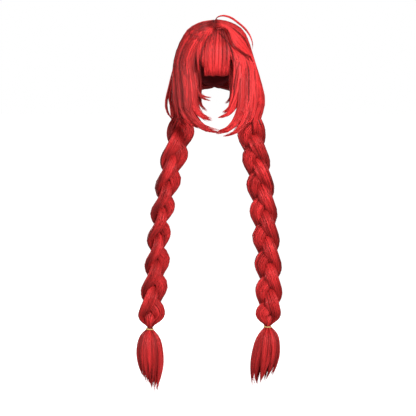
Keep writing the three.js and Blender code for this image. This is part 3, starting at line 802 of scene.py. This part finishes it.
loose_strands(side_left, 23)
side_left.build("side_hair_left", red_fibre, "side_locks_left")
side_right.build("side_hair_right", red_fibre, "side_locks_right")

# %% [markdown]
# ## Fringe
# The fringe fans from the front of the part and is cut straight across the brow, so its locks keep their
# width to the end and their strips all stop at nearly the same height. Four thin strands fall beside it on
# the left, lighter as a painted highlight, and a strand painted dark on each side is a painted shadow in the
# gap between the fringe and the side locks. Painted shade darkens the fringe from its root down, and its
# deeper layer.

# %% Fringe
#         root_x brow_x edge_x edge_z width
FRINGE = np.array([
    (-6, -20, -21, -131, 9.5),
    (-1.5, -12, -12.5, -130, 9.5),
    (3, -4, -4, -131.5, 9.5),
    (8.5, 5, 4.5, -130, 9.5),
    (13.5, 14, 13, -131, 9.5),
    (18, 23.5, 21.5, -131.5, 9.5),
    (22, 33, 29, -130, 9.5),
], float)
BACK_NARROWER, BACK_SHIFT, BACK_Y, BACK_Z = 0.8, 2, -66, -18
ROOT_Y, ROOT_Z = -79, -25
BROW_Y, BROW_Z, EDGE_Y = -112, -72, -109
FRINGE_BEND = np.array([0.62, 0.7, 0.4])
# The root share darkens the fringe from its root down as painted shade, and the deeper layer has a lower
# tone.
FRINGE_THICK, FRINGE_TONE, FRINGE_ROOT_SHADE = 3.2, 0.05, (0.46, 0.7)
#        locks first deeper tone strips
FRINGE_LAYERS = [
    (7, 0, 0.0, 0.54, 52),
    (6, 0.5, 3.0, 0.36, 26),
]
# These strands have a higher tone, as a painted highlight.
BROW_STRANDS = [
    [(-4, -70, -14), (-19, -80, -20), (-31, -88, -32), (-39, -101, -60), (-41, -107, -85), (-40, -109, -105),
     (-37, -109, -125)],
    [(-3, -71, -14), (-15, -81, -20), (-26, -91, -35), (-33, -104, -60), (-35, -110, -80), (-34, -112, -98)],
    [(-3, -72, -14), (-11, -82, -21), (-20, -93, -37), (-27, -106, -62), (-29, -112, -88), (-28, -112, -112)],
    [(-2, -73, -14), (-7, -83, -22), (-14, -95, -39), (-20, -108, -64), (-22, -114, -90), (-22, -113, -120)],
]
# Strands painted dark, as painted shadow in the gaps beside the fringe.
GAP_SHADOW_STRANDS = [
    [(8, -83, -24), (24, -103, -40), (38, -112, -60), (43, -112, -80), (46, -108, -100), (46, -104, -118)],
    [(-3, -82, -23), (-14, -98, -36), (-25, -109, -55), (-31, -114, -75), (-33, -113, -95),
     (-33, -110, -115)],
]
BROW_SIZE, GAP_SIZE = (4.4, 2.4), (1.5, 1.5)


def fringe(seed):
    draw = np.random.default_rng(seed)
    tress = Tress()
    for count, first, deeper, tone, strips in FRINGE_LAYERS:
        for k in np.linspace(first, len(FRINGE) - 1 - first, count):
            root_x, brow_x, edge_x, edge_z, width = between(FRINGE, k)
            back = np.array([root_x * BACK_NARROWER + BACK_SHIFT, BACK_Y, BACK_Z - deeper])
            root = np.array([root_x, ROOT_Y, ROOT_Z - deeper])
            brow = np.array([brow_x, BROW_Y + deeper, BROW_Z])
            edge = np.array([edge_x, EDGE_Y + deeper, edge_z])
            bend = root + (brow - root) * FRINGE_BEND
            line = even_line([back, root, bend, brow, edge], LOCK_PLACES)
            half_width = width * 0.5 * (0.6 + 0.4 * ease(ALONG, 0.1, 0.5)) * (1 - 0.12 * ease(ALONG, 0.8, 1))
            half_thick = FRINGE_THICK * (1 - 0.35 * ease(ALONG, 0.8, 1))
            lock_tone = tone + draw.normal(0, FRINGE_TONE)
            comb_lock(tress, draw, line, out_of_hair(line), half_width, half_thick, strips, steps=9,
                      strip=1.1, start=(0, 0.05), end=(0.97, 1.0), fray=0.5, closing=0.3, tone=lock_tone,
                      root_shade=FRINGE_ROOT_SHADE)
    body = slender(0.6, 0.8, 0.6)
    for points in BROW_STRANDS:
        thin_lock(tress, draw, points, body, BROW_SIZE, 40, strip=0.8, fray=1.0, tone=0.64)
    for points in GAP_SHADOW_STRANDS:
        thin_lock(tress, draw, points, body, GAP_SIZE, 14, strip=0.7, **SHADOW_STRAND_LOOK)
    return tress


fringe(31).build("fringe_hair", red_fibre, "fringe")

# %% [markdown]
# ## Top lock
# One thin springy lock stands up from the part and arches over to the swept side. A bevelled curve would
# look like a wire, so it is combed from strips like the other locks.

# %% Top lock
TOP_LOCK = [(3, -26, 5), (4, -26, 11), (10, -27, 15.5), (22, -28, 17.5), (40, -29, 12.5), (58, -30, 0),
            (75, -31, -15), (87, -32, -32), (93, -33, -50), (93, -34, -65)]
TOP_SIZE = (3.7, 2.4)

top_lock = Tress()
thin_lock(top_lock, np.random.default_rng(41), TOP_LOCK, slender(0.45, 0.7, 0.6), TOP_SIZE, 46, steps=20,
          strip=0.6, end=(0.8, 1), fray=1.0, tone=0.6)
top_lock.build("top_lock_hair", red_fibre, "top_lock")

# %% [markdown]
# ## Plait strands
# Three strands swing from side to side, a third of a turn apart, and each passes over the next in the
# middle. A strand that moves outwards lies in front. A plait could be twisted from a modelled link with an
# array, but sine waves along a curve keep the strands whole where the plait bends and narrows.

# %% Plait strands
#         x y z turn
PLAIT_LEFT = np.array([
    (-86, 10, -241, 35), (-86.5, -6, -280, 45), (-102, -14, -335, 55), (-121, -10, -420, 62),
    (-137, 0, -510, 58), (-145, 8, -610, 48), (-155.5, 14, -690, 40), (-162, 16, -764, 34),
], float)
PLAIT_RIGHT = np.array([
    (94, 16, -241, -25), (94, 24, -285, -28), (107, 36, -350, -30), (119, 44, -425, -32),
    (129, 50, -520, -34), (137, 54, -620, -36), (138, 56, -690, -34), (134, 56, -763, -28),
], float)
START_LEFT, START_RIGHT = 3, 52
PITCH, SWING, DEPTH, CROSSING = 200, 18.5, 11, 0.2
STRAND_WIDTH, STRAND_DEPTH = 16.5, 9.5
# Painted shade: how much darker a strand is where it passes behind another.
FRONT_SWELL, BEHIND_SHADE = 0.12, 0.25
NECK_RADIUS, NECK_STRAND, NECK_SHARE = 7, 4.4, 0.075
TOP_OPEN, TOP_SHARE = 0.55, 0.08
PLAIT_PLACES, LEAD_IN = 240, 22


def plait_strand(rows, start, k):
    top = rows[0] + [0, 0, LEAD_IN, 0]
    rows = np.concatenate([[top], rows])
    middle = even_line(rows[:, :3], PLAIT_PLACES)
    t = np.linspace(0, 1, PLAIT_PLACES)
    length = np.linalg.norm(np.diff(middle, axis=0), axis=1).sum()
    face = np.radians(np.interp(t, np.linspace(0, 1, len(rows)), rows[:, 3]))
    front = np.stack([np.sin(face), -np.cos(face), np.zeros_like(face)], axis=1)
    across = np.stack([np.cos(face), np.sin(face), np.zeros_like(face)], axis=1)
    phase = 2 * math.pi * (t * length - LEAD_IN) / PITCH + math.radians(start + 120 * k)
    open_ = ease(1 - t, 0, NECK_SHARE) * (TOP_OPEN + (1 - TOP_OPEN) * ease(t, 0, TOP_SHARE))
    neck = NECK_RADIUS - NECK_STRAND
    swing, depth = neck + (SWING - neck) * open_, neck + (DEPTH - neck) * open_
    sway = np.sin(phase + CROSSING * np.sin(2 * phase))
    line = middle + across * (swing * sway)[:, None] + front * (depth * np.sin(2 * phase))[:, None]
    bulge = 1 + FRONT_SWELL * np.sin(2 * phase)
    half_width = NECK_STRAND + (STRAND_WIDTH * bulge - NECK_STRAND) * open_
    half_depth = NECK_STRAND + (STRAND_DEPTH - NECK_STRAND) * open_
    # Painted shade, darker where the strand passes behind another.
    shade = BEHIND_SHADE * (ease(np.sin(2 * phase), -0.2, 0.75) - 1) * open_
    return line, front, half_width, half_depth, shade, middle


print("a plait has", PLAIT_PLACES, "places and a pitch of", PITCH, "mm")

# %% [markdown]
# ## Plaits
# The strips run along the strand, and each is only about as long as two crossings, because a longer one
# would need more faces to follow the swing. Painted shade darkens a strand where it passes behind another
# one, and the cores inside, and painted light lifts the top of the plait under the locks.

# %% Plaits
# Strips start at each of these shares of the way down, in several stretches that overlap.
STRETCHES = np.arange(-0.15, 0.95, 0.16)
# The root share lifts the top of each plait, painted light against the shadow of the locks above, and the
# cores inside are darker, as painted shade.
PLAIT_CLUMPS, PLAIT_TONE, PLAIT_STREAK, PLAIT_ROOT_LIGHT = 14, 0.57, 0.07, (-0.15, 0.12)
INSIDE, INSIDE_SHADE_TONE = 8, 0.42


def plait(rows, start, seed):
    draw = np.random.default_rng(seed)
    tress = Tress()
    inside_look = {"tone": INSIDE_SHADE_TONE, "closing": 0}
    for k in range(3):
        line, front, half_width, half_depth, shade, middle = plait_strand(rows, start, k)
        clumps = draw.normal(0, CLUMP_TONE, PLAIT_CLUMPS)
        comb_lock(tress, draw, line, front, half_width, half_depth, 2, steps=12, sides=16, **inside_look)
        for low in STRETCHES:
            first = max(low, 0)
            comb_lock(tress, draw, line, front, half_width, half_depth, 44, steps=13, strip=1.35, core=False,
                      start=(first, first + 0.1), end=(min(low + 0.3, 0.97), min(low + 0.4, 1)),
                      depth=(0.93, 1.0), fray=0.0, drift=0.05, wave=0.15, tone=PLAIT_TONE,
                      streak=PLAIT_STREAK, clumps=clumps, shade=shade, root_shade=PLAIT_ROOT_LIGHT, tip_light=0)
    inside = np.minimum(half_depth, INSIDE)
    comb_lock(tress, draw, middle, front, inside, inside, 2, **inside_look)
    return tress


plait(PLAIT_LEFT, START_LEFT, 51).build("plait_hair_left", red_fibre, "plait_left")
plait(PLAIT_RIGHT, START_RIGHT, 52).build("plait_hair_right", red_fibre, "plait_right")

# %% [markdown]
# ## Tails
# Under each band the hair opens again: it swells, and then closes towards a few tips. The tips are given
# one by one, and a lock goes to the tip that is nearest to its side of the tail.

# %% Tails
TAIL_OUT = np.array([0.1, 0.68, 0.86, 0.52, 0.05])
TAIL_DOWN = np.array([0, 0.18, 0.45, 0.8, 1])
TAIL_BEND, TAIL_RISE, TAIL_SPREAD, TAIL_REACH = 1.6, 5, 28, 22
TAIL_WIDE, TAIL_DEEP = 7.5, 6
TAIL_TONE, TAIL_VARIES, TAIL_STREAK = 0.43, 0.07, 0.1
#        ring locks strips
TAIL_LAYERS = [
    (1.0, 20, 30),
    (0.62, 10, 20),
]
#     x y down of each tip, from the band
TIPS_LEFT = np.array([
    (-13, -4, 122), (-4, -6, 136), (5, -5, 149), (11, -1, 160), (15, 3, 151), (6, 6, 150),
], float)
TIPS_RIGHT = np.array([
    (-36, -2, 153), (-33, -5, 148), (-26, 4, 147), (-18, -6, 143), (-10, 6, 138), (-3, -4, 131), (6, -2, 123),
], float)


def tail(row, tips, seed):
    draw = np.random.default_rng(seed)
    tress = Tress()
    top = row[:3] + [0, 0, TAIL_RISE]
    body = (0.35 + 0.65 * ease(ALONG, 0, 0.3)) * (1 - 0.9 * ease(ALONG, 0.5, 1) ** 1.2)
    bend = TAIL_DOWN**TAIL_BEND
    for ring, count, strips in TAIL_LAYERS:
        for i in range(count):
            turn = 2 * math.pi * (i + draw.uniform(-0.3, 0.3)) / count
            away = np.array([math.cos(turn), math.sin(turn), 0])
            spot = tips[:, :2].mean(axis=0) + away[:2] * ring * TAIL_REACH
            tip = tips[np.argmin(np.linalg.norm(tips[:, :2] - spot, axis=1))].copy()
            tip[:2] += draw.normal(0, 1.5, 2)
            down = tip[2] * draw.uniform(0.9, 1.03) + TAIL_RISE
            points = top + away * (TAIL_SPREAD * ring * TAIL_OUT)[:, None]
            points = points + np.stack([tip[0] * bend, tip[1] * bend, -down * TAIL_DOWN], axis=1)
            line = even_line(points, LOCK_PLACES)
            out = np.repeat(away[None], LOCK_PLACES, 0)
            tone = TAIL_TONE + draw.normal(0, TAIL_VARIES)
            comb_lock(tress, draw, line, out, TAIL_WIDE * body, TAIL_DEEP * body, strips, steps=11,
                      strip=1.25, end=(0.7, 1), fray=1.6, drift=0.12, tone=tone, streak=TAIL_STREAK)
    return tress


tail(PLAIT_LEFT[-1], TIPS_LEFT, 61).build("tail_hair_left", red_fibre, "tail_left")
tail(PLAIT_RIGHT[-1], TIPS_RIGHT, 62).build("tail_hair_right", red_fibre, "tail_right")

# %% [markdown]
# ## Bands
# A thin pale elastic closes each plait. It goes twice round, so it is two close rings, tilted a little
# against each other. A torus is the quickest start for a ring, and a fine grain gives it its thread.

# %% Bands
BAND_RADIUS, BAND_WIRE, BAND_RISE = 8.9, 1.2, 2
BAND_APART, BAND_TILT, BAND_LEAN = 0.8, 0.08, 0.06
BAND_SEGMENTS, WIRE_SEGMENTS = 48, 12
BAND_DARK, BAND_PALE = (0.50, 0.27, 0.07, 1), (0.80, 0.55, 0.22, 1)
BAND_GRAIN, BAND_ROUGH = 900, 0.55


def woven_finish(name, texture, output, scale, dark, pale, rough):
    """A fine texture in the piece's own space that runs from dark to pale."""
    finish, nodes, links, shader = new_finish(name)
    place = nodes.new("ShaderNodeTexCoord")
    weave = add_node(nodes, texture, {"Scale": scale})
    ramp = add_ramp(nodes, dark, pale)
    join(links, (place, "Object", weave, "Vector"), (weave, output, ramp, "Fac"),
         (ramp, "Color", shader, "Base Color"))
    shader.inputs["Roughness"].default_value = rough
    return finish, weave


pale_elastic, grain = woven_finish("pale_elastic", "TexNoise", "Fac", BAND_GRAIN, BAND_DARK, BAND_PALE,
                                   BAND_ROUGH)
print("finish", pale_elastic.name, "with a grain of", grain.inputs["Scale"].default_value)
for name, row in (("left", PLAIT_LEFT[-1]), ("right", PLAIT_RIGHT[-1])):
    rings = []
    for turn in (-1, 1):
        middle = (row[:3] + [0, 0, BAND_RISE + turn * BAND_WIRE * BAND_APART]) * MM
        bpy.ops.mesh.primitive_torus_add(
            location=middle, rotation=(turn * BAND_TILT, BAND_LEAN, 0), major_radius=BAND_RADIUS * MM,
            minor_radius=BAND_WIRE * MM, major_segments=BAND_SEGMENTS, minor_segments=WIRE_SEGMENTS)
        rings.append(bpy.context.object)
    bpy.ops.object.select_all(action="DESELECT")
    for ring in rings:
        ring.select_set(True)
    bpy.context.view_layer.objects.active = rings[0]
    bpy.ops.object.join()
    bpy.ops.object.transform_apply()
    bpy.ops.object.shade_smooth()
    band = bpy.context.object
    band.name = "elastic_band_" + name
    band.data.materials.clear()
    band.data.materials.append(pale_elastic)
    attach(band, "root")
    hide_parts("band_" + name)
    print(band.name, len(band.data.polygons), "faces")

# %% [markdown]
# ## Cap finish
# The net is a dark red knit. Small cells, laid out in the cap's own space, give its holes and its relief.

# %% Cap finish
NET_DARK, NET_RED = (0.10, 0.006, 0.009, 1), (0.33, 0.02, 0.028, 1)
NET_CELLS, NET_ROUGH, NET_RELIEF, NET_HEIGHT = 420, 0.85, 0.6, 0.0006

stretch_net, weave = woven_finish("stretch_net", "TexVoronoi", "Distance", NET_CELLS, NET_DARK, NET_RED,
                                  NET_ROUGH)
nodes, links = stretch_net.node_tree.nodes, stretch_net.node_tree.links
bump = add_node(nodes, "Bump", {"Strength": NET_RELIEF, "Distance": NET_HEIGHT})
join(links, (weave, "Distance", bump, "Height"), (bump, "Normal", nodes["Principled BSDF"], "Normal"))
print("finish", stretch_net.name)

# %% [markdown]
# ## Cap
# The hair is sewn to a stretch net cap. It starts as a sphere, and its lower half goes. The upper half is
# drawn down to a rim that follows the brow, the ears and the nape, and Solidify gives it its thickness.

# %% Cap
#          degrees round from the front, height of the rim
CAP_RIM = ((0, -44), (40, -62), (72, -112), (90, -96), (108, -112), (180, -158))
CAP_COLUMNS, CAP_LEVELS, CAP_WALL = 72, 24, 1.6
TINY = 1e-4


def rim_height(azimuth):
    a = np.abs(azimuth)
    heights = np.zeros_like(a, dtype=float)
    for (a0, z0), (a1, z1) in zip(CAP_RIM[:-1], CAP_RIM[1:]):
        inside = (a >= a0) & (a <= a1)
        heights = np.where(inside, z0 + (z1 - z0) * ease(a, a0, a1), heights)
    return heights


bpy.ops.mesh.primitive_uv_sphere_add(segments=CAP_COLUMNS, ring_count=2 * CAP_LEVELS, radius=1)
cap = bpy.context.object
cap.name = "net_cap"
bpy.ops.object.mode_set(mode="EDIT")
bpy.ops.mesh.select_all(action="DESELECT")
bpy.ops.mesh.select_mode(type="VERT")
bpy.ops.object.mode_set(mode="OBJECT")
for vertex in cap.data.vertices:
    vertex.select = vertex.co.z < -TINY
bpy.ops.object.mode_set(mode="EDIT")
bpy.ops.mesh.delete(type="VERT")
bpy.ops.object.mode_set(mode="OBJECT")
co = np.array([v.co for v in cap.data.vertices])
azimuth = np.degrees(np.arctan2(co[:, 0], -co[:, 1]))
level = np.degrees(np.arccos(np.clip(co[:, 2], -1, 1))) / 90
z = rim_height(azimuth) * level**2
over = np.clip((z - DOME[2]) / CAP_INSIDE[2], 0, 1)
under = np.clip((DOME[2] - z) / DRAWN_DEPTH, 0, 2)
share = np.where(z > DOME[2], np.sqrt(np.maximum(1 - over**2, 0)), 1 - DRAWN_IN * under**2)
a = np.radians(azimuth)
placed = np.stack([CAP_INSIDE[0] * share * np.sin(a), -CAP_INSIDE[1] * share * np.cos(a), z], axis=1)
placed[level < TINY] = (0, 0, 0)
cap.data.vertices.foreach_set("co", (placed * MM).ravel())
cap.data.update()
wall = cap.modifiers.new("wall", "SOLIDIFY")
wall.thickness = CAP_WALL * MM
wall.offset = 1
bpy.ops.object.modifier_apply(modifier="wall")
bpy.ops.object.shade_smooth()
cap.data.materials.append(stretch_net)
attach(cap, "root")
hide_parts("cap")
print("net_cap", len(cap.data.polygons), "faces")

# %% [markdown]
# ## Floor and background
# A pale floor that runs far back and a white surround give the even, high-key look of a shop picture. Both
# are white to the camera but give the hair little light, so that its shadows keep their depth.

# %% Floor and background
FLOOR_Z, FLOOR_SIZE, FLOOR_BACK = -985, 60, 20
FLOOR_GREY, FLOOR_ROUGH, WHITE = (0.3, 0.3, 0.3, 1), 0.9, (1, 1, 1, 1)
WHITE_SEEN, FLOOR_GIVEN, ROOM_GIVEN = 1.0, 0.1, 0.2


def seen_white(nodes, links, strength, given):
    """White to the camera, and a light of strength given to the hair."""
    ray = nodes.new("ShaderNodeLightPath")
    share = add_node(nodes, "MapRange", {"To Min": given, "To Max": WHITE_SEEN})
    links.new(ray.outputs["Is Camera Ray"], share.inputs["Value"])
    links.new(share.outputs["Result"], strength)


bpy.ops.mesh.primitive_plane_add(size=FLOOR_SIZE, location=(0, FLOOR_BACK, FLOOR_Z * MM))
floor = bpy.context.object
floor.name = "pale_floor"
floor_paint, nodes, links, paint = new_finish("pale_floor_paint")
paint.inputs["Base Color"].default_value = FLOOR_GREY
paint.inputs["Roughness"].default_value = FLOOR_ROUGH
paint.inputs["Emission Color"].default_value = WHITE
seen_white(nodes, links, paint.inputs["Emission Strength"], FLOOR_GIVEN)
floor.data.materials.append(floor_paint)

world = bpy.data.worlds.new("white_room")
bpy.context.scene.world = world
world.use_nodes = True
nodes, links = world.node_tree.nodes, world.node_tree.links
nodes["Background"].inputs["Color"].default_value = WHITE
seen_white(nodes, links, nodes["Background"].inputs["Strength"], ROOM_GIVEN)
bpy.context.scene.view_settings.view_transform = "Standard"
print("floor at", FLOOR_Z, "mm")

# %% [markdown]
# ## Lights
# Soft square lamps all look at one place, near the lowest tips of the side locks. The key stands in front on
# the right and the weaker fill on the left. Lamps from above, from behind and from the left lift the edges.

# %% Lights
#         name   place (m)        size power
LIGHTS = (
    ("key", (1.05, -2.05, 0.6), 0.9, 80),
    ("fill", (-2.1, -2.0, 0.1), 1.6, 25),
    ("top", (0.25, -0.3, 1.6), 0.8, 12),
    ("back", (-0.7, 2.4, -0.3), 1.4, 44),
    ("left", (-2.6, -0.4, -0.1), 1.2, 16),
)
LIGHT_AIM = np.array([0, 0, -0.25])
for name, place, size, power in LIGHTS:
    bpy.ops.object.light_add(type="AREA", location=place)
    lamp = bpy.context.object
    lamp.name = name + "_light"
    lamp.data.size = size
    lamp.data.energy = power
    look = LIGHT_AIM - place
    tilt = math.acos(-look[2] / np.linalg.norm(look))
    lamp.rotation_euler = (tilt, 0, math.atan2(look[1], look[0]) - math.pi / 2)
print(len(LIGHTS), "lights")
